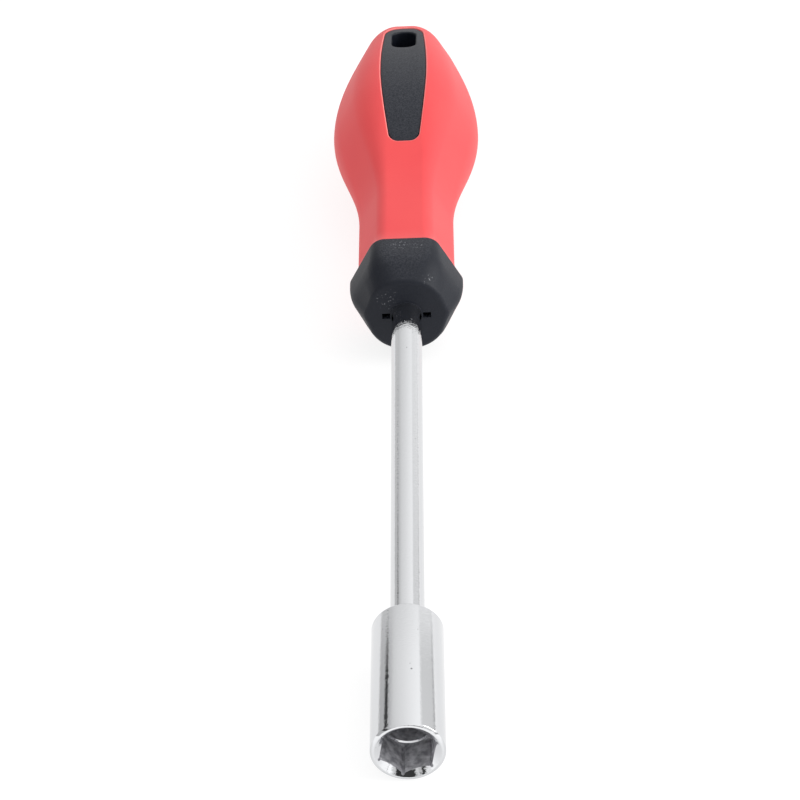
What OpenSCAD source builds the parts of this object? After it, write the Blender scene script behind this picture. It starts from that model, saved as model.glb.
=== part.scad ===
// Nut driver with a hexagon socket on a round shaft and a soft-grip handle.
// The tool's axis is Y. The socket's mouth is at the origin and faces -Y, and the inlay is on top (+Z).
// Lengths are in millimetres. "Over the corners" is a section's full width along X.

/* [Socket] */
// Outer diameter of the socket
socket_d = 12.5; // [12.2:0.1:15]
// Length of the socket
socket_l = 30.4; // [28:0.1:45]
// Width across flats of the nut that it turns
nut_af = 8.73; // [7.5:0.01:9]
// Play of the nut across its flats
nut_play = 0.06; // [0.02:0.01:0.15]
// Depth of the hexagon from the mouth
hex_depth = 7; // [5:0.5:12]
// How far the round corner reliefs reach past the hexagon's sharp corners
relief_reach = 0.2; // [0.1:0.01:0.3]
// Radius of each corner relief
relief_r = 0.3; // [0.2:0.05:0.5]
// Width of the flat rim round the lead-in cone
rim_t = 0.35; // [0.2:0.05:0.5]
// Depth of the lead-in cone
lead_in_l = 1.1; // [0.6:0.05:1.6]
// Width of the ledge that stops the nut at the end of the hexagon
nut_ledge = 0.3; // [0.1:0.01:0.6]
// Thickness of the solid web between the bolt bore and the shaft
web_t = 3; // [1.5:0.5:5]
// Chamfer round the mouth
mouth_chamfer = 0.35; // [0.1:0.05:0.4]
// Radius of the socket's rear edge
rear_edge_r = 0.4; // [0.3:0.1:1.2]

/* [Shaft] */
// Blade length from the socket's mouth to the collar's face
blade_l = 125; // [100:1:200]
// Diameter of the shaft
shaft_d = 6; // [5.4:0.1:6.6]
// Length of the shaft inside the socket
spigot_l = 9.4; // [6:0.1:9.4]
// Length of the shaft inside the handle
tang_l = 60; // [45:1:64]
// Chamfer on both ends of the shaft
shaft_chamfer = 0.5; // [0.2:0.1:1]
// Width over the two pressed ears
ear_span = 9.4; // [8.4:0.1:9.8]
// Thickness of the ears
ear_t = 1.0; // [0.8:0.1:1.4]
// Length of the ears along the shaft
ear_l = 10; // [6:0.5:14]
// Distance from the collar's face to the ears
ear_inset = 18; // [12:0.5:24]
// Clearance round the ears in their slots
ear_clearance = 0.12; // [0.05:0.01:0.25]

/* [Collar] */
// Collar width over the corners at its rim
collar_w = 22.6; // [21.8:0.1:25]
// Diameter of the collar's front edge, which is almost round
collar_front_d = 16.7; // [15.6:0.1:18]
// Diameter of the flat front face
collar_face_d = 14.4; // [12:0.1:15]
// Length of the chamfer round the front face
collar_chamfer_l = 1.2; // [0.8:0.1:2]
// Distance from the front face to the bulge between the front edge and the rim
collar_bulge_at = 5.4; // [4:0.1:6.5]
// Collar width over the corners at the bulge
collar_bulge_w = 21.4; // [20.6:0.1:21.6]
// Distance from the front face to the rim
collar_rim_at = 8.9; // [7:0.1:10]
// Length of the rim
collar_rim_l = 3.2; // [1:0.1:4]
// Length of the bevel behind the rim
collar_bevel_l = 0.6; // [0.4:0.1:1.5]
// Width over the corners at the collar's rear face
collar_rear_w = 21.7; // [21.6:0.1:22.2]

/* [Handle] */
// Length of the handle from the collar's face
handle_l = 106.5; // [96:0.5:130]
// Width over the corners where the grip meets the collar
flare_w = 21.5; // [20.5:0.1:21.6]
// Length over which that width runs out into the neck
flare_l = 5; // [3:0.5:9]
// Neck width over the corners
neck_w = 19.3; // [18.6:0.1:20.4]
// Belly width over the corners
belly_w = 31; // [27:0.1:36]
// Width over the corners where the rounded butt starts
butt_w = 21.9; // [20:0.1:24]
// Width over the corners of the flat at the very end
butt_flat_w = 6.0; // [5:0.5:8]
// Distance from the collar's face to the end of the straight neck
neck_end_at = 32; // [22:0.5:40]
// Distance from the belly to the butt's end
belly_to_butt = 39.5; // [32:0.5:44]
// Length of the rounded butt
butt_l = 12; // [8:0.5:14]
// Thickness of the soft grip
grip_t = 1.9; // [1.3:0.1:2.1]

/* [Inlay and hang slot] */
// Length of the inlay
inlay_l = 50.7; // [40:0.1:52]
// Distance from the inlay's rear end to the butt's end
inlay_to_butt = 8.1; // [7:0.1:9.5]
// Width of the inlay's front end
inlay_front_w = 5.9; // [5.2:0.1:7]
// Greatest width of the inlay
inlay_w = 9.8; // [9.2:0.1:11]
// Width of the inlay's rear end
inlay_rear_w = 8.1; // [7.8:0.1:8.8]
// Corner radius of the inlay's front end
inlay_front_r = 1.9; // [1:0.1:2.4]
// Corner radius of the inlay's rear end
inlay_rear_r = 3.8; // [1.5:0.1:3.8]
// Width of the hang slot
slot_w = 5.2; // [5:0.1:6]
// Length of the hang slot
slot_l = 11; // [7:0.1:11.5]
// Corner radius of the hang slot
slot_r = 2.4; // [1:0.1:2.4]
// Distance from the middle of the hang slot to the butt's end
slot_to_butt = 16.9; // [16:0.1:24]

/* [Hidden] */
$fn = 64;

// How far a cut runs past the face that it opens
overrun = 1;
// Turn of the hexagon about the axis, so that a corner points down and a little to the left
hex_turn = 41.5;

// Corner radius of a section as a share of its half width over the corners
front_round_share = 0.9;
bulge_round_share = 0.52;
collar_round_share = 0.3;
neck_round_share = 0.29;
belly_round_share = 0.60;
// The collar's left and right corners, on the mould's parting line, as a share of its other corners' radius
parting_corner_share = 0.42;
// Where the inlay is widest, as a share of its length
inlay_widest_share = 0.51;
// How square the rounded butt is: 2 gives an ellipse
butt_power = 2.45;

// Numbers of steps round each corner, of rings along each stretch of the handle and of steps along the inlay
corner_steps = 5;
flare_rings = 4;
neck_rings = 8;
taper_rings = 7;
butt_rings = 6;
inlay_steps = 14;
inlay_corner_steps = 5;

hex_af = nut_af + nut_play;
hex_d = hex_af / cos(30);
lead_in_d = socket_d - 2 * mouth_chamfer - 2 * rim_t;
bolt_bore_d = hex_af - 2 * nut_ledge;
shaft_front = socket_l - spigot_l;
shaft_l = blade_l + tang_l - shaft_front;
bolt_bore_depth = shaft_front - web_t;

// Places along the handle, as distances from the collar's face
collar_l = collar_rim_at + collar_rim_l + collar_bevel_l;
belly_at = handle_l - belly_to_butt;
butt_at = handle_l - butt_l;
inlay_at = handle_l - inlay_to_butt - inlay_l;
slot_at = handle_l - slot_to_butt;
// A tall enough height for cuts and slabs that pass right through the handle
through_h = belly_w + 2 * overrun;

// A section is [position along the axis, half width over the corners, corner radius].
// A ring of points: a hexagon with corners at left and right, each corner rounded by an arc.
// The left and right ones have a share of the other corners' radius.
function ring(section, side_share) = [
    for (k = [0 : 5], i = [0 : corner_steps])
        let (
            middle = 60 * k,
            a = middle - 30 + 60 * i / corner_steps,
            r = section[2] * (k % 3 == 0 ? side_share : 1),
            hub = section[1] - r
        )
        [hub * cos(middle) + r * cos(a), hub * sin(middle) + r * sin(a), section[0]]
];

// A smooth step from 0 to 1
function ease(u) = (1 - cos(180 * u)) / 2;

// How much of the flare is left, how far the neck has swelled into the belly, and the belly has tapered
function flare(x) = pow(1 - min(max((x - collar_l) / flare_l, 0), 1), 2);
function swell(x) = ease(min(max((x - neck_end_at) / (belly_at - neck_end_at), 0), 1));
function taper(x) = cos(90 * (x - belly_at) / (butt_at - belly_at));

// Half width over the corners, and corner radius as a share of it, at a distance from the collar's face
function half_w(x) =
    x <= belly_at ?
        neck_w / 2 + (belly_w - neck_w) / 2 * swell(x) + (flare_w - neck_w) / 2 * flare(x) :
        butt_w / 2 + (belly_w - butt_w) / 2 * taper(x);
function round_share(x) = neck_round_share + (belly_round_share - neck_round_share) * swell(x);
function section_at(x, half) = [blade_l + x, half, half * round_share(x)];

// Sections of the handle from behind the collar to the butt, drawn in by an inset.
// With a lead the first section starts that much further forward.
function neck_sections(inset, lead) = [
    for (i = [0 : flare_rings])
        let (x = collar_l + flare_l * i / flare_rings)
        section_at(i == 0 ? x - lead : x, half_w(x) - inset)
];
function blend_sections(inset) = [
    for (i = [0 : neck_rings])
        let (x = neck_end_at + (belly_at - neck_end_at) * i / neck_rings)
        section_at(x, half_w(x) - inset)
];
function taper_sections(inset) = [
    for (i = [1 : taper_rings])
        let (x = belly_at + (butt_at - belly_at) * i / taper_rings)
        section_at(x, half_w(x) - inset)
];
function butt_sections(inset) = [
    for (i = [1 : butt_rings])
        let (
            w = sin(90 * i / butt_rings),
            x = butt_at + (handle_l - inset - butt_at) * w,
            dome = sqrt(max(1 - pow(w, butt_power), 0)),
            half = butt_flat_w / 2 + (half_w(x) - butt_flat_w / 2) * dome
        )
        section_at(x, half - inset)
];
function handle_sections(inset, lead) =
    concat(neck_sections(inset, lead), blend_sections(inset), taper_sections(inset), butt_sections(inset));

// A closed solid through a row of sections, front to back
module loft(sections, side_share = 1) {
    n = 6 * (corner_steps + 1);
    last = len(sections) - 1;
    points = [for (s = sections) each ring(s, side_share)];
    front = [[for (i = [0 : n - 1]) i]];
    back = [[for (i = [n - 1 : -1 : 0]) last * n + i]];
    sides = [
        for (k = [0 : last - 1], i = [0 : n - 1])
            let (a = k * n + i, b = k * n + (i + 1) % n)
            each [[a, a + n, b], [b, a + n, b + n]]
    ];
    polyhedron(points = points, faces = concat(front, back, sides), convexity = 4);
}

// The handle's outer form, and the core's stem, which the grip covers all over
module handle_form() {
    along_axis() loft(handle_sections(0, 0));
}

module stem() {
    along_axis() loft(handle_sections(grip_t, overrun));
}

// Turns a shape drawn along +Z so that it lies along the tool's axis
module along_axis() {
    rotate([-90, 0, 0]) children();
}

// A rectangle with round corners, centred
module rounded_rect(w, l, r) {
    square([w - 2 * r, l], center = true);
    square([w, l - 2 * r], center = true);
    for (x = [-1, 1], y = [-1, 1])
        translate([x * (w / 2 - r), y * (l / 2 - r)]) circle(r);
}

// How much a corner of radius r takes off the half width, at distance x from the end
function corner_cut(x, r) = x < r ? r - sqrt(r * r - (r - x) * (r - x)) : 0;
inlay_widest_at = inlay_l * inlay_widest_share;
function inlay_half(x) =
    (x < inlay_widest_at ?
        inlay_front_w / 2 + (inlay_w - inlay_front_w) / 2 * sin(90 * x / inlay_widest_at) :
        inlay_rear_w / 2 + (inlay_w - inlay_rear_w) / 2
            * cos(90 * (x - inlay_widest_at) / (inlay_l - inlay_widest_at)))
    - corner_cut(x, inlay_front_r) - corner_cut(inlay_l - x, inlay_rear_r);

// Places along the inlay: close together on its round corners, wider apart between them
inlay_places = concat(
    [for (i = [0 : inlay_corner_steps - 1]) inlay_front_r * (1 - cos(90 * i / inlay_corner_steps))],
    [for (i = [0 : inlay_steps])
        inlay_front_r + (inlay_l - inlay_front_r - inlay_rear_r) * i / inlay_steps],
    [for (i = [inlay_corner_steps - 1 : -1 : 0])
        inlay_l - inlay_rear_r * (1 - cos(90 * i / inlay_corner_steps))]
);

// The upright slab that carries the inlay on top and its twin underneath
module inlay_slab() {
    right = [for (x = inlay_places) [inlay_half(x), x]];
    left = [for (i = [len(inlay_places) - 1 : -1 : 0]) [-inlay_half(inlay_places[i]), inlay_places[i]]];
    translate([0, blade_l + inlay_at, -through_h / 2])
        linear_extrude(through_h)
            polygon(concat(right, left));
}

// Socket: turned steel, with a hexagon with relieved corners, and bored from both ends
module socket_blank() {
    rotate_extrude() {
        polygon([
            [0, 0],
            [socket_d / 2 - mouth_chamfer, 0],
            [socket_d / 2, mouth_chamfer],
            [socket_d / 2, socket_l - rear_edge_r],
            [socket_d / 2 - rear_edge_r, socket_l - rear_edge_r],
            [socket_d / 2 - rear_edge_r, socket_l],
            [0, socket_l]
        ]);
        intersection() {
            translate([socket_d / 2 - rear_edge_r, socket_l - rear_edge_r]) circle(rear_edge_r);
            translate([socket_d / 2 - rear_edge_r, socket_l - rear_edge_r]) square(rear_edge_r);
        }
    }
}

module hexagon_cut() {
    rotate(hex_turn) {
        translate([0, 0, -overrun]) cylinder(d = hex_d, h = hex_depth + overrun, $fn = 6);
        for (k = [0 : 5])
            rotate(60 * k)
                translate([hex_d / 2 + relief_reach - relief_r, 0, -overrun])
                    cylinder(r = relief_r, h = hex_depth + overrun);
    }
}

module socket() {
    color("silver")
        along_axis()
            difference() {
                socket_blank();
                hexagon_cut();
                cylinder(d1 = lead_in_d, d2 = bolt_bore_d, h = lead_in_l);
                cylinder(d = bolt_bore_d, h = bolt_bore_depth);
                translate([0, 0, shaft_front]) cylinder(d = shaft_d, h = spigot_l + overrun);
            }
}

// Shaft: round bar, pressed into the socket, with two ears inside the handle
module ears(span, t, l) {
    translate([-span / 2, -t / 2, 0]) cube([span, t, l]);
}

module shaft() {
    color("gainsboro")
        along_axis() {
            translate([0, 0, shaft_front])
                rotate_extrude()
                    polygon([
                        [0, 0],
                        [shaft_d / 2 - shaft_chamfer, 0],
                        [shaft_d / 2, shaft_chamfer],
                        [shaft_d / 2, shaft_l - shaft_chamfer],
                        [shaft_d / 2 - shaft_chamfer, shaft_l],
                        [0, shaft_l]
                    ]);
            translate([0, 0, blade_l + ear_inset]) ears(ear_span, ear_t, ear_l);
        }
}

// Handle core: collar, stem and inlay in one hard moulding, bored for the shaft and its ears
collar_sections = [
    [blade_l, collar_face_d / 2, collar_face_d / 2 * front_round_share],
    [blade_l + collar_chamfer_l, collar_front_d / 2, collar_front_d / 2 * front_round_share],
    [blade_l + collar_bulge_at, collar_bulge_w / 2, collar_bulge_w / 2 * bulge_round_share],
    [blade_l + collar_rim_at, collar_w / 2, collar_w / 2 * collar_round_share],
    [blade_l + collar_rim_at + collar_rim_l, collar_w / 2, collar_w / 2 * collar_round_share],
    [blade_l + collar_l, collar_rear_w / 2, collar_rear_w / 2 * collar_round_share]
];

module shaft_seat() {
    translate([0, 0, blade_l - overrun]) cylinder(d = shaft_d, h = tang_l + overrun);
    translate([0, 0, blade_l - overrun])
        ears(
            ear_span + 2 * ear_clearance,
            ear_t + 2 * ear_clearance,
            overrun + ear_inset + ear_l + ear_clearance
        );
}

module hang_slot() {
    translate([0, blade_l + slot_at, -through_h / 2])
        linear_extrude(through_h)
            rounded_rect(slot_w, slot_l, slot_r);
}

module handle_core() {
    color("dimgray")
        difference() {
            union() {
                along_axis() loft(collar_sections, parting_corner_share);
                stem();
                intersection() {
                    handle_form();
                    inlay_slab();
                }
            }
            along_axis() shaft_seat();
            hang_slot();
        }
}

// Soft grip: a rubber skin over the core, with a window on top and underneath for the inlay
module soft_grip() {
    color("tomato")
        difference() {
            handle_form();
            stem();
            inlay_slab();
        }
}

socket();
shaft();
handle_core();
soft_grip();
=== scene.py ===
import math

import bmesh
import bpy
from mathutils import Matrix, Vector


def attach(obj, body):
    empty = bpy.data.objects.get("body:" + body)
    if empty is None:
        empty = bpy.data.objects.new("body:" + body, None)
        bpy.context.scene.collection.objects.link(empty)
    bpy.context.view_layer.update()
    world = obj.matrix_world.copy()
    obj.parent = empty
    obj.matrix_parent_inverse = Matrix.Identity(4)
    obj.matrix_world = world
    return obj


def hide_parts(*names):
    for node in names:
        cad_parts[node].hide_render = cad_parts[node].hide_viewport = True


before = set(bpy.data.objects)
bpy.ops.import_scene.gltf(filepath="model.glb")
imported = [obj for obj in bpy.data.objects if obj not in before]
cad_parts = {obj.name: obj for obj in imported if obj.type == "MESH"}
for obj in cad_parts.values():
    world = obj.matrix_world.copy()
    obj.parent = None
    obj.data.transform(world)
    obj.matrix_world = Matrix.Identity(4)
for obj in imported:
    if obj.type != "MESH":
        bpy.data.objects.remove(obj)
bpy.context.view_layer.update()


# SOCKET
# A deep sleeve of alloy steel, turned on a lathe and broached with a hexagon from its mouth, then polished
# and chrome plated. The plating barely reaches inside, so the hexagon stays dark and rough.
# Sizes here and below are in millimetres. The tool's axis is Y, with the socket's mouth at y = 0.
MM = 0.001
WELD = 0.0001
NEAR = 0.001
AXIS = Vector((0, 1, 0))
socket_r = 6.25
socket_end = 30.4
socket_rear_r = 0.4
mouth_chamfer = 0.35
mouth_edge_r = 0.07
chamfer_edge_r = 0.09
lead_in_r = 5.55
lead_in_end = 1.1
cone_play = 0.02
cone_slope = 0.2
bolt_bore_r = 4.095
bolt_bore_end = 18.0
bore_chamfer = 0.22
hexagon_end = 7.0
hexagon_corner_r = 5.075
hexagon_turn = math.radians(11.5)
relief_r = 0.3
relief_centre_r = 4.975
shaft_r = 3.0
shaft_front = 21.0


def turned(profile, steps):
    """A solid of revolution about the tool's axis, from (radius, y) points."""
    bm = bmesh.new()
    verts = [bm.verts.new((radius, y, 0)) for radius, y in profile]
    edges = [bm.edges.new(pair) for pair in zip(verts, verts[1:])]
    bmesh.ops.spin(
        bm, geom=verts + edges, cent=(0, 0, 0), axis=AXIS, angle=2 * math.pi, steps=steps, use_merge=True
    )
    bmesh.ops.remove_doubles(bm, verts=bm.verts, dist=WELD)
    bmesh.ops.recalc_face_normals(bm, faces=bm.faces)
    return bm


def off_axis(point):
    return math.hypot(point.x, point.z)


def round_rings(bm, rings, segments):
    """Rounds the circular edges at the given (radius, y, size)."""
    for radius, y, size in rings:
        edges = [
            e for e in bm.edges
            if all(abs(off_axis(v.co) - radius) < NEAR and abs(v.co.y - y) < NEAR for v in e.verts)
        ]
        bmesh.ops.bevel(
            bm, geom=edges, offset=size, offset_type="OFFSET", segments=segments, profile=0.5,
            affect="EDGES", clamp_overlap=True, material=-1,
        )


def combined(solid, tool, operation):
    """One closed mesh cut by, or joined with, another."""
    objects = []
    for bm in (solid, tool):
        mesh = bpy.data.meshes.new("blank")
        bm.to_mesh(mesh)
        bm.free()
        objects.append(bpy.data.objects.new("blank", mesh))
        bpy.context.scene.collection.objects.link(objects[-1])
    modifier = objects[0].modifiers.new("combined", "BOOLEAN")
    modifier.object = objects[1]
    modifier.operation = operation
    modifier.solver = "EXACT"
    result = bmesh.new()
    result.from_object(objects[0], bpy.context.evaluated_depsgraph_get())
    for o in objects:
        mesh = o.data
        bpy.data.objects.remove(o)
        bpy.data.meshes.remove(mesh)
    return result


def make_piece(bm, name, materials, node, sharp_deg):
    """A finished piece, in metres, that stands for a CAD node. Edges sharper than an angle stay crisp."""
    bmesh.ops.scale(bm, vec=(MM, MM, MM), verts=bm.verts)
    for f in bm.faces:
        f.smooth = True
    for e in bm.edges:
        e.smooth = e.calc_face_angle(0.0) < math.radians(sharp_deg)
    mesh = bpy.data.meshes.new(name)
    bm.to_mesh(mesh)
    bm.free()
    for material in materials:
        mesh.materials.append(material)
    piece = bpy.data.objects.new(name, mesh)
    bpy.context.scene.collection.objects.link(piece)
    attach(piece, "root")
    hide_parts(node)
    return piece


def linear(hex_colour):
    """An sRGB hex value as linear RGBA."""
    parts = [int(hex_colour[i:i + 2], 16) / 255 for i in (1, 3, 5)]
    return [c / 12.92 if c <= 0.04045 else ((c + 0.055) / 1.055) ** 2.4 for c in parts] + [1.0]


def add_node(tree, kind, inputs=None, **settings):
    """A node with its settings. Each input is linked where it is given a socket, and set where a value."""
    node = tree.nodes.new(kind)
    for name, value in settings.items():
        setattr(node, name, value)
    for name, value in (inputs or {}).items():
        if isinstance(value, bpy.types.NodeSocket):
            tree.links.new(value, node.inputs[name])
        else:
            node.inputs[name].default_value = value
    return node


def new_material(name):
    material = bpy.data.materials.new(name)
    material.use_nodes = True
    return material, material.node_tree, material.node_tree.nodes["Principled BSDF"]


def grain(size_mm):
    """The scale of a pattern on Object coordinates, which are in metres, for features of this size."""
    return 1 / (size_mm * MM)


# Bright chrome plate over polished steel: a neutral mirror with the fine ripple that turning left, which
# frays the edges of reflections, a trace of haze that comes and goes, and a few pin holes.
chrome, tree, bsdf = new_material("polished_chrome_plate")
coords = add_node(tree, "ShaderNodeTexCoord").outputs["Object"]
turning = add_node(tree, "ShaderNodeVectorMath", {0: coords, 1: (1.0, 2.0, 1.0)}, operation="MULTIPLY")
ripple = add_node(
    tree, "ShaderNodeTexNoise", {"Vector": turning.outputs[0], "Scale": grain(0.5), "Detail": 1.0}
)
haze = add_node(tree, "ShaderNodeTexNoise", {"Vector": coords, "Scale": grain(4.0), "Detail": 5.0})
haze_roughness = add_node(
    tree, "ShaderNodeMapRange",
    {"Value": haze.outputs["Fac"], "From Min": 0.3, "From Max": 0.7, "To Min": 0.02, "To Max": 0.06},
)
pits = add_node(tree, "ShaderNodeTexVoronoi", {"Vector": coords, "Scale": grain(3.2), "Randomness": 1.0})
pit_mask = add_node(
    tree, "ShaderNodeMapRange",
    {"Value": pits.outputs["Distance"], "From Min": 0.028, "From Max": 0.04, "To Min": 1.0, "To Max": 0.0},
)
large_pit = (0.87, 13.6, 6.19)
large_pit_r = 0.2
off_pit = add_node(
    tree, "ShaderNodeVectorMath", {0: coords, 1: [c * MM for c in large_pit]}, operation="DISTANCE"
)
large_pit_mask = add_node(
    tree, "ShaderNodeMapRange",
    {
        "Value": off_pit.outputs["Value"], "From Min": large_pit_r * MM / 2, "From Max": large_pit_r * MM,
        "To Min": 1.0, "To Max": 0.0,
    },
)
all_pits = add_node(
    tree, "ShaderNodeMath", {0: pit_mask.outputs["Result"], 1: large_pit_mask.outputs["Result"]},
    operation="MAXIMUM",
)
plate = add_node(
    tree, "ShaderNodeMix",
    {0: all_pits.outputs[0], 6: linear("#D1D2D4"), 7: linear("#6E6F72")}, data_type="RGBA",
)
bump = add_node(
    tree, "ShaderNodeBump",
    {"Height": ripple.outputs["Fac"], "Strength": 1.0, "Distance": 0.019 * MM},
)
tree.links.new(plate.outputs[2], bsdf.inputs["Base Color"])
tree.links.new(haze_roughness.outputs["Result"], bsdf.inputs["Roughness"])
tree.links.new(bump.outputs["Normal"], bsdf.inputs["Normal"])
bsdf.inputs["Metallic"].default_value = 1.0

# Bare broached steel inside the hexagon: dark, dull and blotchy, with a coarse torn surface.
broached, tree, bsdf = new_material("broached_bare_steel")
coords = add_node(tree, "ShaderNodeTexCoord").outputs["Object"]
blotches = add_node(tree, "ShaderNodeTexNoise", {"Vector": coords, "Scale": grain(1.1), "Detail": 6.0})
blotch_shade = add_node(
    tree, "ShaderNodeMapRange", {"Value": blotches.outputs["Fac"], "From Min": 0.35, "From Max": 0.68}
)
steel = add_node(
    tree, "ShaderNodeMix",
    {0: blotch_shade.outputs["Result"], 6: linear("#8A8A8F"), 7: linear("#D6D6DA")}, data_type="RGBA",
)
torn = add_node(tree, "ShaderNodeTexNoise", {"Vector": coords, "Scale": grain(0.35), "Detail": 4.0})
bump = add_node(
    tree, "ShaderNodeBump", {"Height": torn.outputs["Fac"], "Strength": 1.0, "Distance": 0.06 * MM}
)
tree.links.new(steel.outputs[2], bsdf.inputs["Base Color"])
tree.links.new(bump.outputs["Normal"], bsdf.inputs["Normal"])
bsdf.inputs["Metallic"].default_value = 0.2
bsdf.inputs["Roughness"].default_value = 0.6

socket = turned(
    [
        (0, bolt_bore_end),
        (bolt_bore_r, bolt_bore_end),
        (bolt_bore_r, lead_in_end),
        (lead_in_r, 0),
        (socket_r - mouth_chamfer, 0),
        (socket_r, mouth_chamfer),
        (socket_r, socket_end),
        (shaft_r, socket_end),
        (shaft_r, shaft_front),
        (0, shaft_front),
    ],
    steps=160,
)
round_rings(
    socket,
    [
        (lead_in_r, 0, mouth_edge_r),
        (socket_r - mouth_chamfer, 0, mouth_edge_r),
        (socket_r, mouth_chamfer, chamfer_edge_r),
    ],
    segments=3,
)
round_rings(socket, [(socket_r, socket_end, socket_rear_r)], segments=8)

corner_down = Matrix.Rotation(hexagon_turn, 4, "Y") @ Matrix.Rotation(math.pi / 2, 4, "X")
hexagon = bmesh.new()
bmesh.ops.create_cone(
    hexagon, cap_ends=True, segments=6, radius1=hexagon_corner_r, radius2=hexagon_corner_r,
    depth=2 * hexagon_end, matrix=corner_down,
)
socket = combined(socket, hexagon, "DIFFERENCE")
reliefs = bmesh.new()
for k in range(6):
    corner = Matrix.Rotation(k * math.pi / 3, 4, "Y") @ corner_down
    bmesh.ops.create_cone(
        reliefs, cap_ends=True, segments=36, radius1=relief_r, radius2=relief_r, depth=2 * hexagon_end,
        matrix=corner @ Matrix.Translation((0, relief_centre_r, 0)),
    )
socket = combined(socket, reliefs, "DIFFERENCE")
for f in socket.faces:
    centre = f.calc_center_median()
    inside = off_axis(centre) < relief_centre_r + relief_r + WELD and WELD < centre.y < bolt_bore_end + WELD
    cone_r = lead_in_r - (lead_in_r - bolt_bore_r) * centre.y / lead_in_end
    on_cone = abs(off_axis(centre) - cone_r) < cone_play and abs(f.normal.y) > cone_slope
    f.material_index = 1 if inside and not on_cone else 0
round_rings(socket, [(bolt_bore_r, hexagon_end, bore_chamfer)], segments=1)
chamfer_middle = Vector((bolt_bore_r, hexagon_end)) + Vector((bore_chamfer, bore_chamfer)) / 2
for f in socket.faces:
    centre = f.calc_center_median()
    if (Vector((off_axis(centre), centre.y)) - chamfer_middle).length < bore_chamfer / 4:
        f.material_index = 0
bmesh.ops.dissolve_degenerate(socket, dist=WELD, edges=socket.edges)
make_piece(socket, "turned_socket", [chrome, broached], "socket", sharp_deg=25)


# SHAFT
# A round steel bar with two ears pressed out near its end, so that it can't turn in the handle. It is
# plated like the socket that it is pressed into, and the handle is moulded over its rear end.
blade_l = 125.0
shaft_end = 185.0
shaft_chamfer = 0.5
ear_half = 4.7
ear_t = 1.0
ear_inset = 18.0
ear_front = blade_l + ear_inset
ear_l = 10.0

shaft = turned(
    [
        (0, shaft_front),
        (shaft_r - shaft_chamfer, shaft_front),
        (shaft_r, shaft_front + shaft_chamfer),
        (shaft_r, shaft_end - shaft_chamfer),
        (shaft_r - shaft_chamfer, shaft_end),
        (0, shaft_end),
    ],
    steps=128,
)


def block(low, high):
    """A closed box between two corners."""
    bm = bmesh.new()
    low, high = Vector(low), Vector(high)
    bmesh.ops.create_cube(bm, size=1, matrix=Matrix.LocRotScale((low + high) / 2, None, high - low))
    return bm


ears = block((-ear_half, ear_front, -ear_t / 2), (ear_half, ear_front + ear_l, ear_t / 2))
shaft = combined(shaft, ears, "UNION")
make_piece(shaft, "plated_shaft", [chrome], "shaft", sharp_deg=25)


# HANDLE CORE
# One moulding of black polypropylene: the hexagonal collar in front, a stem inside the grip, and the inlay
# that comes through the grip on top and underneath, with the hang slot through it near the butt.
OVERRUN = 1.0
handle_l = 106.49
neck_half = 9.65
belly_half = 15.44
butt_half = 10.95
butt_flat_half = 3.0
collar_l = 12.7
flare_half = 10.75
flare_l = 5.0
neck_end = 32.0
belly_at = 67.0
butt_at = 94.5
butt_power = 2.45
grip_t = 1.9
neck_round = 0.29
belly_round = 0.60
COS30 = math.cos(math.pi / 6)


def blended(share):
    """A smooth step from 0 to 1."""
    return (1 - math.cos(math.pi * min(max(share, 0), 1))) / 2


def swell(s):
    """How far the neck has swelled into the belly, at a distance from the collar's face."""
    return blended((s - neck_end) / (belly_at - neck_end))


def flare(s):
    """How much is left there of the flare that meets the collar."""
    return min(max(1 - (s - collar_l) / flare_l, 0), 1) ** 2


def form_half(s):
    """Half the handle's width over its corners, at a distance from the collar's face."""
    if s <= belly_at:
        return neck_half + (belly_half - neck_half) * swell(s) + (flare_half - neck_half) * flare(s)
    past_belly = math.pi / 2 * (s - belly_at) / (butt_at - belly_at)
    half = butt_half + (belly_half - butt_half) * math.cos(past_belly)
    if s <= butt_at:
        return half
    dome = math.sqrt(max(1 - ((s - butt_at) / (handle_l - butt_at)) ** butt_power, 0))
    return butt_flat_half + (half - butt_flat_half) * dome


def form_round(s):
    """The corner radius there, as a share of that half width."""
    return neck_round + (belly_round - neck_round) * swell(s)


def section_point(half, share, way, side_share=1.0):
    """A point on a round-cornered hexagon, with the corner radius as a share of its half width. The corners
    at left and right have a share of that radius. The way round goes from 0 at the top, over 1 at the right
    and 2 at the bottom, back to 4."""
    radius, side_radius = half * share, half * share * side_share
    hub, side_hub = half - radius, half - side_radius
    arc_end = Vector((hub / 2 + radius * COS30, hub * COS30 + radius / 2))
    side_start = Vector((side_hub + side_radius * COS30, side_radius / 2))
    flank = (side_start - arc_end).length
    stretches = (hub / 2, radius * math.pi / 3, flank, side_radius * math.pi / 6)
    turn = way % 4
    along = sum(stretches) * (turn if turn <= 1 else abs(2 - turn) if turn <= 3 else 4 - turn)
    if along <= stretches[0]:
        x, z = along, hub * COS30 + radius
    elif along <= sum(stretches[:2]):
        a = (along - stretches[0]) / radius
        x, z = hub / 2 + radius * math.sin(a), hub * COS30 + radius * math.cos(a)
    elif along <= sum(stretches[:3]):
        x, z = arc_end.lerp(side_start, (along - sum(stretches[:2])) / flank)
    else:
        a = math.pi / 3 + (along - sum(stretches[:3])) / side_radius
        x, z = side_hub + side_radius * math.sin(a), side_radius * math.cos(a)
    return (x if turn <= 2 else -x), (-z if 1 < turn < 3 else z)


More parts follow.
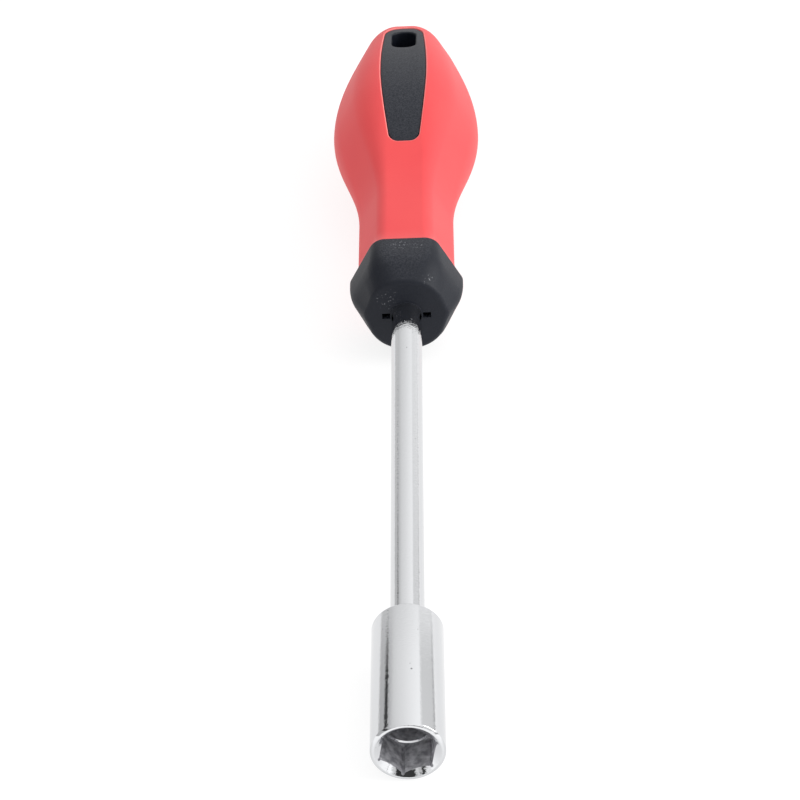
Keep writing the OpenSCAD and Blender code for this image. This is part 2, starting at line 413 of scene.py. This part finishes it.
def bent_grid(columns, rows, place, keep=None):
    """A flat grid of faces, bent so that each (column, row) lies where place says, with its seam closed."""
    bm = bmesh.new()
    bmesh.ops.create_grid(bm, x_segments=columns, y_segments=rows, size=0.5)
    if keep:
        spare = []
        for f in bm.faces:
            centre = f.calc_center_median()
            if not keep((centre.x + 0.5) * columns, (centre.y + 0.5) * rows):
                spare.append(f)
        bmesh.ops.delete(bm, geom=spare, context="FACES")
    for v in bm.verts:
        v.co = place(round((v.co.x + 0.5) * columns), round((v.co.y + 0.5) * rows))
    bmesh.ops.remove_doubles(bm, verts=bm.verts, dist=WELD)
    bmesh.ops.recalc_face_normals(bm, faces=bm.faces)
    return bm


def close_ends(bm):
    bmesh.ops.holes_fill(bm, edges=bm.edges, sides=0)
    bmesh.ops.recalc_face_normals(bm, faces=bm.faces)


# The collar: rows of (distance from its face, half width, corner share, size of the soft edge there). Its
# front is almost round and it bulges towards the rim. Its left and right corners, where the halves of the
# mould met, are sharper than the others.
parting_share = 0.42
collar_rows = [
    (0, 8.15, 0.9, 0.7), (5.4, 10.8, 0.52, 1.6), (8.9, 11.28, 0.3, 1.0), (12.1, 11.28, 0.3, 0.3),
    (collar_l, 10.85, 0.3, 0.1),
]
collar_columns = 192


def on_collar(column, row):
    s, half, share, soft_edge = collar_rows[row]
    x, z = section_point(half, share, 4 * column / collar_columns, parting_share)
    return x, blade_l + s, z


collar = bent_grid(collar_columns, len(collar_rows) - 1, on_collar)
close_ends(collar)
for s, half, share, soft_edge in collar_rows:
    ring = [e for e in collar.edges if all(abs(v.co.y - blade_l - s) < WELD for v in e.verts)]
    bmesh.ops.bevel(
        collar, geom=ring, offset=soft_edge, offset_type="OFFSET", segments=6, profile=0.5,
        affect="EDGES", clamp_overlap=True, material=-1,
    )

# The stem, which the grip hides
stem_columns = 48
stem_rows = 40
stem_end_rows = 8
stem_front = collar_l - OVERRUN
stem_places = [stem_front + i * (butt_at - stem_front) / stem_rows for i in range(stem_rows + 1)]
stem_places += [
    butt_at + (handle_l - grip_t - butt_at) * i / stem_end_rows for i in range(1, stem_end_rows + 1)
]


def on_stem(column, row):
    s = stem_places[row]
    x, z = section_point(form_half(s) - grip_t, form_round(s), 4 * column / stem_columns)
    return x, blade_l + s, z


stem = bent_grid(stem_columns, len(stem_places) - 1, on_stem)
close_ends(stem)
core = combined(collar, stem, "UNION")

# The inlay: a slab right through the handle. Its outline and its hang slot both are long shapes with round
# ends.
inlay_front = 47.7
inlay_l = 50.7
inlay_front_half = 2.95
inlay_half = 4.9
inlay_rear_half = 4.05
inlay_widest_share = 0.51
inlay_widest = inlay_widest_share * inlay_l
inlay_front_r = 1.9
inlay_rear_r = 3.8
inlay_recess = 0.22
inlay_edge_r = 0.25
slot_half = 2.6
slot_l = 11.0
slot_r = 2.4
slot_front = 84.1
slot_lip_r = 0.45
slot_margin = 0.3


def inlay_half_at(s):
    d = min(max(s - inlay_front, 0), inlay_l)
    if d < inlay_widest:
        return inlay_front_half + (inlay_half - inlay_front_half) * math.sin(math.pi / 2 * d / inlay_widest)
    turn = math.pi / 2 * (d - inlay_widest) / (inlay_l - inlay_widest)
    return inlay_rear_half + (inlay_half - inlay_rear_half) * math.cos(turn)


def rounded(p, q):
    """Where a corner's square, with p and q from 0 to 1, goes when the corner is made round."""
    return p * math.sqrt(1 - q * q / 2), q * math.sqrt(1 - p * p / 2)


def round_corner(side, end, radius, reach):
    """Moves a point near a corner, given how far it is inside the side and the end, so that the corner
    becomes round. Points outside follow less and less, over a reach of that many radii."""
    p, q = 1 - side / radius, 1 - end / radius
    if p <= 0 or q <= 0:
        return side, end
    inner = min(p, 1), min(q, 1)
    moved = rounded(*inner)
    fade = max(1 - max(p - 1, q - 1, 0) / reach, 0)
    return (side + (inner[0] - moved[0]) * radius * fade, end + (inner[1] - moved[1]) * radius * fade)


def square_way(turn):
    """A point on the edge of a square of half width 1, a turn of 0 to 1 on from the middle of its front."""
    x, y = math.sin(2 * math.pi * turn), -math.cos(2 * math.pi * turn)
    largest = max(abs(x), abs(y))
    return x / largest, y / largest


def inlay_edge(turn, inset):
    a, b = square_way(turn)
    end_r = inlay_front_r if b < 0 else inlay_rear_r
    s = inlay_front + inlay_l * (b + 1) / 2
    end = inlay_l / 2 * (1 - abs(b))
    side, end = round_corner(inlay_half_at(s) * (1 - abs(a)), end, end_r, 1)
    s = inlay_front + end if b < 0 else inlay_front + inlay_l - end
    x = math.copysign(inlay_half_at(s) - side, a)
    middle = inlay_front + inlay_l / 2
    return x * (1 - inset / inlay_half), middle + (s - middle) * (1 - 2 * inset / inlay_l)


def slot_edge(turn, grow):
    a, b = square_way(turn)
    side, end = round_corner(
        (slot_half + grow) * (1 - abs(a)), (slot_l / 2 + grow) * (1 - abs(b)), slot_r + grow, 1
    )
    x = math.copysign(slot_half + grow - side, a)
    return x, slot_front + slot_l / 2 + math.copysign(slot_l / 2 + grow - end, b)


def form_top(x, s):
    """The height of the handle's upper side over a place."""
    half = form_half(s)
    radius = half * form_round(s)
    hub = half - radius
    over = max(abs(x) - hub / 2, 0)
    return hub * COS30 + math.sqrt(radius * radius - over * over)


inlay_columns = 144
lip_rows = 6
face_rows = 16
edge_rows = 4
inlay_rows = lip_rows + face_rows + edge_rows + 3


def on_inlay(column, row):
    """Rows go from the slot's middle height up its wall, over its lip and across the face, then over the
    inlay's edge and down again."""
    turn = column / inlay_columns
    if row <= 1 + lip_rows:
        a = math.pi / 2 * max(row - 1, 0) / lip_rows
        x, s = slot_edge(turn, slot_lip_r * (1 - math.cos(a)))
        drop = slot_lip_r * (1 - math.sin(a))
    elif row <= 1 + lip_rows + face_rows:
        share = (row - 1 - lip_rows) / face_rows
        near, far = Vector(slot_edge(turn, slot_lip_r)), Vector(inlay_edge(turn, inlay_edge_r))
        x, s = near.lerp(far, share)
        drop = 0
    else:
        a = math.pi / 2 * min((row - 1 - lip_rows - face_rows) / edge_rows, 1)
        x, s = inlay_edge(turn, inlay_edge_r * (1 - math.sin(a)))
        drop = inlay_edge_r * (1 - math.cos(a))
    if row in (0, inlay_rows):
        return x, blade_l + s, 0
    return x, blade_l + s, form_top(x, s) - inlay_recess - drop


inlay = bent_grid(inlay_columns, inlay_rows, on_inlay)
bmesh.ops.mirror(
    inlay, geom=inlay.verts[:] + inlay.edges[:] + inlay.faces[:], axis="Z", merge_dist=WELD
)
bmesh.ops.remove_doubles(inlay, verts=inlay.verts, dist=WELD)
bmesh.ops.recalc_face_normals(inlay, faces=inlay.faces)

slot_room = block(
    (-slot_half - slot_margin, blade_l + slot_front - slot_margin, -belly_half),
    (slot_half + slot_margin, blade_l + slot_front + slot_l + slot_margin, belly_half),
)
core = combined(core, slot_room, "DIFFERENCE")
core = combined(core, inlay, "UNION")

# The seat for the shaft: a close bore, two slots that let the ears in, and a low ring of flash round the
# shaft
seat_play = 0.01
seat_r = shaft_r + seat_play
seat = turned(
    [(0, blade_l - OVERRUN), (seat_r, blade_l - OVERRUN), (seat_r, shaft_end), (0, shaft_end)],
    steps=96,
)
core = combined(core, seat, "DIFFERENCE")
ear_play = 0.12
ear_slots = block(
    (-ear_half - ear_play, blade_l - OVERRUN, -ear_t / 2 - ear_play),
    (ear_half + ear_play, ear_front + ear_l + ear_play, ear_t / 2 + ear_play),
)
core = combined(core, ear_slots, "DIFFERENCE")
flash_r = 3.22
flash_h = 0.14
flash_depth = 0.5
flash_bore_r = shaft_r + seat_play / 2
flash = turned(
    [
        (flash_bore_r, blade_l + flash_depth),
        (flash_r, blade_l + flash_depth),
        (flash_r, blade_l - flash_h / 2),
        (flash_r - flash_h / 2, blade_l - flash_h),
        (flash_bore_r, blade_l - flash_h),
        (flash_bore_r, blade_l + flash_depth),
    ],
    steps=96,
)
core = combined(core, flash, "UNION")

# Black polypropylene from a spark-eroded mould: dull and finely grained, with pale dust speckle, and pale
# nicks where the collar was knocked, in places given as (middle, reach) in millimetres. The dust is painted
# much stronger on what faces up. That is painted top light, which makes the upward faces lighter as if lit
# from above. One of the places holds a painted glint on the front ring's edge.
black_plastic, tree, bsdf = new_material("moulded_black_polypropylene")
coords = add_node(tree, "ShaderNodeTexCoord").outputs["Object"]
mould = add_node(tree, "ShaderNodeTexNoise", {"Vector": coords, "Scale": grain(0.22), "Detail": 4.0})
dust = add_node(tree, "ShaderNodeTexNoise", {"Vector": coords, "Scale": grain(0.3), "Detail": 6.0})
dust_mask = add_node(
    tree, "ShaderNodeMapRange", {"Value": dust.outputs["Fac"], "From Min": 0.38, "From Max": 0.76}
)
facing = add_node(tree, "ShaderNodeNewGeometry").outputs["Normal"]
upward = add_node(tree, "ShaderNodeSeparateXYZ", {"Vector": facing}).outputs["Z"]
# Painted top light: faces that point up take more of the pale dust colour, so that they read lighter
painted_top_light = add_node(
    tree, "ShaderNodeMapRange",
    {"Value": upward, "From Min": 0.85, "From Max": 1.0, "To Min": 0.1, "To Max": 1.0},
).outputs["Result"]
dust_and_top_light = add_node(
    tree, "ShaderNodeMath", {0: dust_mask.outputs["Result"], 1: painted_top_light}, operation="MULTIPLY"
)
plastic = add_node(
    tree, "ShaderNodeMix",
    {0: dust_and_top_light.outputs[0], 6: linear("#0C111C"), 7: linear("#393B42")}, data_type="RGBA",
)
nicks = add_node(tree, "ShaderNodeTexNoise", {"Vector": coords, "Scale": grain(0.45), "Detail": 3.0})
nick_spots = add_node(
    tree, "ShaderNodeMapRange", {"Value": nicks.outputs["Fac"], "From Min": 0.6, "From Max": 0.78}
).outputs["Result"]
nick_and_glint_places = [
    ((-3.6, 125.0, 4.0), 2.6),
    # A painted glint, speckled like the nicks, on the right of the front ring's edge
    ((4.4, 126.4, 7.2), 1.5),
    ((-1.2, 135.0, 10.1), 2.6),
    ((2.6, 135.0, 10.1), 1.8),
]
near_nick_and_glint = 0.0
for middle, reach in nick_and_glint_places:
    away = add_node(
        tree, "ShaderNodeVectorMath", {0: coords, 1: [c * MM for c in middle]}, operation="DISTANCE"
    )
    near = add_node(
        tree, "ShaderNodeMapRange",
        {
            "Value": away.outputs["Value"], "From Min": reach * MM / 2, "From Max": reach * MM,
            "To Min": 1.0, "To Max": 0.0,
        },
    ).outputs["Result"]
    near_nick_and_glint = add_node(tree, "ShaderNodeMath", {0: near, 1: near_nick_and_glint}, operation="MAXIMUM").outputs[0]
nick_and_glint_mask = add_node(tree, "ShaderNodeMath", {0: near_nick_and_glint, 1: nick_spots}, operation="MULTIPLY")
nicked_and_glinting_plastic = add_node(
    tree, "ShaderNodeMix",
    {0: nick_and_glint_mask.outputs[0], 6: plastic.outputs[2], 7: linear("#8E8F94")}, data_type="RGBA",
)
bump = add_node(
    tree, "ShaderNodeBump", {"Height": mould.outputs["Fac"], "Strength": 1.0, "Distance": 0.03 * MM}
)
tree.links.new(nicked_and_glinting_plastic.outputs[2], bsdf.inputs["Base Color"])
tree.links.new(bump.outputs["Normal"], bsdf.inputs["Normal"])
bsdf.inputs["Roughness"].default_value = 0.52
bsdf.inputs["Specular IOR Level"].default_value = 0.28
make_piece(core, "moulded_core", [black_plastic], "handle_core", sharp_deg=35)


# SOFT GRIP
# A skin of red thermoplastic rubber, moulded over the core in a second shot. It is open in front, behind
# the collar, and has a window with a soft lip round the inlay, above and below.
window_columns = 12
side_columns = 36
quarter_columns = window_columns + side_columns
front_rows = 44
window_rows = 64
dome_rows = 16
end_rows = 4
window_gap = 0.05
front_gap = 0.2
lip_r = 0.2
corner_reach = 2


def window_half(s):
    return inlay_half_at(s) + window_gap


def flat_way(x, half, share):
    """The way round a section, from 0 at its top to 1 at its side, to a point that is x off the middle."""
    radius = half * share
    hub = half - radius
    over = min(max(x - hub / 2, 0) / radius, COS30)
    return (min(x, hub / 2) + radius * math.asin(over)) / (1.5 * hub + math.pi / 2 * radius)


def grip_place(row):
    """The distance from the collar's face of a row, and how far it is drawn in on the flat end."""
    window_front, window_rear = inlay_front - window_gap, inlay_front + inlay_l + window_gap
    if row <= front_rows:
        front = collar_l + front_gap
        return front + (window_front - front) * row / front_rows, 1
    if row <= front_rows + window_rows:
        return window_front + (window_rear - window_front) * (row - front_rows) / window_rows, 1
    if row <= front_rows + window_rows + dome_rows:
        low = math.asin((window_rear - butt_at) / (handle_l - butt_at))
        share = (row - front_rows - window_rows) / dome_rows
        return butt_at + (handle_l - butt_at) * math.sin(low + (math.pi / 2 - low) * share), 1
    return handle_l, 1 - (row - front_rows - window_rows - dome_rows) / end_rows


def on_grip(column, row):
    quarter, within = divmod(column, quarter_columns)
    if quarter % 2:
        within = quarter_columns - within
    s, drawn = grip_place(row)
    front, rear = inlay_front - window_gap, inlay_front + inlay_l + window_gap
    half, share = form_half(s), form_round(s)
    at_edge = flat_way(window_half(s), half, share)
    quarter_length = half * (1.5 * (1 - share) + math.pi / 2 * share)
    if within <= window_columns:
        way = at_edge * within / window_columns
    else:
        way = at_edge + (1 - at_edge) * (within - window_columns) / side_columns
    nearest_end, radius = (s - front, inlay_front_r) if s < (front + rear) / 2 else (rear - s, inlay_rear_r)
    side, end = round_corner((at_edge - way) * quarter_length, nearest_end, radius, corner_reach)
    moved = side - (at_edge - way) * quarter_length, end - nearest_end
    s += moved[1] if s < (front + rear) / 2 else -moved[1]
    way -= moved[0] / quarter_length
    if drawn == 1:
        s = min(s, handle_l)
        half, share = form_half(s), form_round(s)
    x, z = section_point(half * drawn, share, (way, 2 - way, 2 + way, 4 - way, 4)[quarter])
    return x, blade_l + s, z


def outside_window(column, row):
    nearest_middle = abs((column + quarter_columns) % (2 * quarter_columns) - quarter_columns)
    return nearest_middle > window_columns or not front_rows < row < front_rows + window_rows


grip = bent_grid(
    4 * quarter_columns, front_rows + window_rows + dome_rows + end_rows, on_grip, outside_window
)
outer_rims = [e for e in grip.edges if e.is_boundary]
bmesh.ops.solidify(grip, geom=grip.faces[:], thickness=grip_t)
bmesh.ops.recalc_face_normals(grip, faces=grip.faces)
lip = bmesh.ops.bevel(
    grip, geom=outer_rims, offset=lip_r, offset_type="OFFSET", segments=4, profile=0.5,
    affect="EDGES", clamp_overlap=False, material=-1,
)
# The lips get the paler rubber: a painted highlight along the window rims and the front rim
for f in lip["faces"]:
    f.material_index = 1

# Red thermoplastic rubber from a finely etched mould: matt and warm, with a soft grain and a faint bloom
red_rubber, tree, bsdf = new_material("moulded_red_rubber")
coords = add_node(tree, "ShaderNodeTexCoord").outputs["Object"]
mould = add_node(tree, "ShaderNodeTexNoise", {"Vector": coords, "Scale": grain(0.3), "Detail": 3.0})
clouds = add_node(tree, "ShaderNodeTexNoise", {"Vector": coords, "Scale": grain(9.0), "Detail": 4.0})
rubber = add_node(
    tree, "ShaderNodeMix",
    {0: clouds.outputs["Fac"], 6: linear("#DD3B40"), 7: linear("#E34647")}, data_type="RGBA",
)
bump = add_node(
    tree, "ShaderNodeBump", {"Height": mould.outputs["Fac"], "Strength": 1.0, "Distance": 0.02 * MM}
)
tree.links.new(rubber.outputs[2], bsdf.inputs["Base Color"])
tree.links.new(bump.outputs["Normal"], bsdf.inputs["Normal"])
bsdf.inputs["Roughness"].default_value = 0.62
bsdf.inputs["Sheen Weight"].default_value = 0.08
bsdf.inputs["Sheen Roughness"].default_value = 0.4

# The same rubber on the lips, paler and blotchy: a painted highlight that stands in for the light the
# rounded lips catch
lip_highlight_rubber, tree, bsdf = new_material("rubber_lip_painted_highlight")
coords = add_node(tree, "ShaderNodeTexCoord").outputs["Object"]
lip_highlight_mottle = add_node(tree, "ShaderNodeTexNoise", {"Vector": coords, "Scale": grain(2.5), "Detail": 3.0})
rubber = add_node(
    tree, "ShaderNodeMix",
    {0: lip_highlight_mottle.outputs["Fac"], 6: linear("#E85C5B"), 7: linear("#EE8F8B")}, data_type="RGBA",
)
tree.links.new(rubber.outputs[2], bsdf.inputs["Base Color"])
bsdf.inputs["Roughness"].default_value = 0.55
make_piece(grip, "rubber_grip", [red_rubber, lip_highlight_rubber], "soft_grip", sharp_deg=40)


# FLOOR
# A large sheet of white card, on which the tool rests with its socket's rim and its belly. It glows with
# painted light, most of all in a painted pool in front of the mouth, so that it stays white and the rim
# stands out.
floor_half = 8
belly_bottom = 14.55
floor_mesh = bpy.data.meshes.new("white_card")
bm = bmesh.new()
bmesh.ops.create_grid(bm, x_segments=1, y_segments=1, size=floor_half)
rise = math.atan2(socket_r - belly_bottom, blade_l + belly_at)
bmesh.ops.rotate(bm, verts=bm.verts, cent=(0, 0, 0), matrix=Matrix.Rotation(rise, 3, "X"))
bmesh.ops.translate(bm, verts=bm.verts, vec=(0, 0, -socket_r * MM))
bm.to_mesh(floor_mesh)
bm.free()
white_card, tree, bsdf = new_material("matt_white_card")
bsdf.inputs["Base Color"].default_value = linear("#7C7C7C")
bsdf.inputs["Roughness"].default_value = 0.9
bsdf.inputs["Emission Color"].default_value = linear("#FFFFFF")
along = add_node(tree, "ShaderNodeTexCoord").outputs["Object"]
along = add_node(tree, "ShaderNodeSeparateXYZ", {"Vector": along}).outputs["Y"]
# Painted light: the card's glow is stronger in a pool in front of the mouth
painted_glow_pool = add_node(
    tree, "ShaderNodeMapRange",
    {"Value": along, "From Min": -11 * MM, "From Max": -2 * MM, "To Min": 1.1, "To Max": 0.82},
)
tree.links.new(painted_glow_pool.outputs["Result"], bsdf.inputs["Emission Strength"])
floor_mesh.materials.append(white_card)
floor = bpy.data.objects.new("white_card", floor_mesh)
bpy.context.scene.collection.objects.link(floor)


# LIGHT
# A white room, brighter on its right. The chrome shows what stands in it: a dark post at the far left, a
# shaded wall with a dark edge at the far right, a dark screen in front, and a bright strip low beside it.
world = bpy.data.worlds.new("white_room")
bpy.context.scene.world = world
world.use_nodes = True
tree = world.node_tree
way = add_node(tree, "ShaderNodeTexCoord").outputs["Generated"]
axes = add_node(tree, "ShaderNodeSeparateXYZ", {"Vector": way}).outputs
sides = add_node(
    tree, "ShaderNodeMapRange",
    {"Value": axes["X"], "From Min": -1.0, "From Max": 1.0, "To Min": 0.86, "To Max": 1.55},
    interpolation_type="SMOOTHSTEP",
).outputs["Result"]
# Angles go round the tool's axis, from 0 straight up to 90 degrees at the right
angle = add_node(tree, "ShaderNodeMath", {0: axes["X"], 1: axes["Z"]}, operation="ARCTAN2").outputs[0]
share_round = add_node(
    tree, "ShaderNodeMapRange", {"Value": angle, "From Min": -math.pi, "From Max": math.pi}
).outputs["Result"]
walls = add_node(tree, "ShaderNodeValToRGB", {"Fac": share_round})
wall_shades = [
    (-180, 0.9), (-91, 0.8), (-89, 0.7), (-52, 0.72), (-42, 0.92), (-30, 0.97), (36, 0.94), (44, 0.63),
    (82, 0.58), (84, 0.35), (87, 0.35), (89, 0.85), (180, 0.9),
]
ramp = walls.color_ramp.elements
for index, (degrees, shade) in enumerate(wall_shades):
    stop = ramp[0] if index == 0 else ramp.new(degrees / 360 + 0.5)
    stop.position = degrees / 360 + 0.5
    stop.color = (shade, shade, shade, 1)
# Far back, where the shaft shows them, the walls are lit more evenly
even_share = add_node(
    tree, "ShaderNodeMapRange",
    {"Value": axes["Y"], "From Min": 0.774, "From Max": 0.79, "To Min": 0.0, "To Max": 0.7},
).outputs["Result"]
walls = add_node(
    tree, "ShaderNodeMix",
    {0: even_share, 6: walls.outputs["Color"], 7: (0.86, 0.86, 0.86, 1)}, data_type="RGBA",
).outputs[2]
post_turn = math.radians(-64)
post_edge = math.radians(1.5)
post_width = add_node(
    tree, "ShaderNodeMapRange",
    {
        "Value": axes["Y"], "From Min": 0.74, "From Max": 0.775,
        "To Min": math.radians(5), "To Max": math.radians(1),
    },
).outputs["Result"]
post_shade = add_node(
    tree, "ShaderNodeMapRange",
    {"Value": axes["Y"], "From Min": 0.765, "From Max": 0.779, "To Min": 0.11, "To Max": 0.9},
).outputs["Result"]
off_post = add_node(tree, "ShaderNodeMath", {0: angle, 1: post_turn}, operation="SUBTRACT").outputs[0]
off_post = add_node(tree, "ShaderNodeMath", {0: off_post}, operation="ABSOLUTE").outputs[0]
off_post = add_node(tree, "ShaderNodeMath", {0: off_post, 1: post_width}, operation="SUBTRACT").outputs[0]
post = add_node(
    tree, "ShaderNodeMapRange",
    {"Value": off_post, "From Min": 0.0, "From Max": post_edge, "To Min": post_shade, "To Max": 1.0},
).outputs["Result"]
screen_middle = (0.13, -0.88, 0.42)
screen_reach = (0.42, 0.6, 0.2)
off_screen = add_node(
    tree, "ShaderNodeVectorMath", {0: way, 1: screen_middle}, operation="SUBTRACT"
).outputs[0]
off_screen = add_node(
    tree, "ShaderNodeVectorMath", {0: off_screen, 1: screen_reach}, operation="DIVIDE"
).outputs[0]
off_screen = add_node(tree, "ShaderNodeVectorMath", {0: off_screen}, operation="LENGTH").outputs["Value"]
dark_screen = add_node(
    tree, "ShaderNodeMapRange",
    {"Value": off_screen, "From Min": 0.85, "From Max": 1.1, "To Min": 0.05, "To Max": 1.0},
).outputs["Result"]
in_front = add_node(
    tree, "ShaderNodeMapRange",
    {"Value": axes["Y"], "From Min": -0.6, "From Max": -0.5, "To Min": 1.8, "To Max": 1.0},
).outputs["Result"]
low_strip = add_node(
    tree, "ShaderNodeMapRange",
    {"Value": axes["Z"], "From Min": 0.16, "From Max": 0.22, "To Min": in_front, "To Max": 1.0},
).outputs["Result"]
brightness = sides
for part in (walls, post, dark_screen, low_strip):
    brightness = add_node(tree, "ShaderNodeMath", {0: brightness, 1: part}, operation="MULTIPLY").outputs[0]
tree.links.new(brightness, tree.nodes["Background"].inputs["Strength"])
tree.nodes["Background"].inputs["Color"].default_value = (1, 1, 1, 1)

key_data = bpy.data.lights.new("window", "AREA")
key_data.shape = "RECTANGLE"
key_data.size = key_data.size_y = 0.6
key_data.energy = 6.4
key = bpy.data.objects.new("window", key_data)
key.location = (0.85, 0.0, 0.45)
lit_middle = Vector((0, 0.12, 0))
key.rotation_euler = (lit_middle - key.location).to_track_quat("-Z", "Y").to_euler()
bpy.context.scene.collection.objects.link(key)
bpy.context.scene.view_settings.view_transform = "Standard"


# CAMERA
# A long lens in front of the mouth, looking down along the tool. In the picture the tool lies rolled a
# little about its own axis, so here the camera is turned about that axis instead.
camera_data = bpy.data.cameras.new("camera")
camera_data.sensor_width = 36
camera_data.lens = 135.07
camera_data.clip_start = 0.01
camera = bpy.data.objects.new("camera", camera_data)
look_down = math.radians(36.3)
tool_roll = math.radians(2.5)
camera_place = Vector((-1.30, -359.79, 335.55))
camera.matrix_world = (
    Matrix.Rotation(tool_roll, 4, "Y")
    @ Matrix.Translation(camera_place * MM)
    @ Matrix.Rotation(math.pi / 2 - look_down, 4, "X")
)
bpy.context.scene.collection.objects.link(camera)
bpy.context.scene.camera = camera
